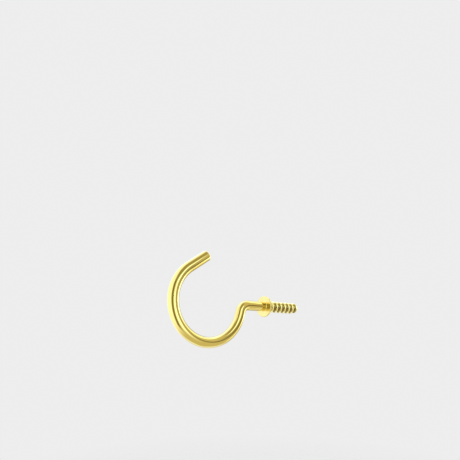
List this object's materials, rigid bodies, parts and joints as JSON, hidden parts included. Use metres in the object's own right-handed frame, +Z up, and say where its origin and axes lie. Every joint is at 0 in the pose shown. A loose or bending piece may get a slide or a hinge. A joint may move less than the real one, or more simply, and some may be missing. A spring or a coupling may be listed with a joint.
{
  "type": "cup hook",
  "caption": "Cup hook: a wood screw with a thin round shoulder, and a wire bent into a round open hook that a cup's handle hangs in.",
  "frame": {"origin": "centre of the shoulder's seat face, on the screw's axis", "axes": "+X along the screw into the wood, so the hook stands out along -X; +Z up, towards the hook's free end; the bends lie in the XZ plane"},
  "size_m": [0.0467, 0.0062, 0.0254],
  "materials": {
    "brass": "bright polished brass over drawn wire, with fine lines along the wire and rolled flanks on the thread"
  },
  "bodies": {
    "root": {"cup_hook": "brass"}
  },
  "joints": []
}
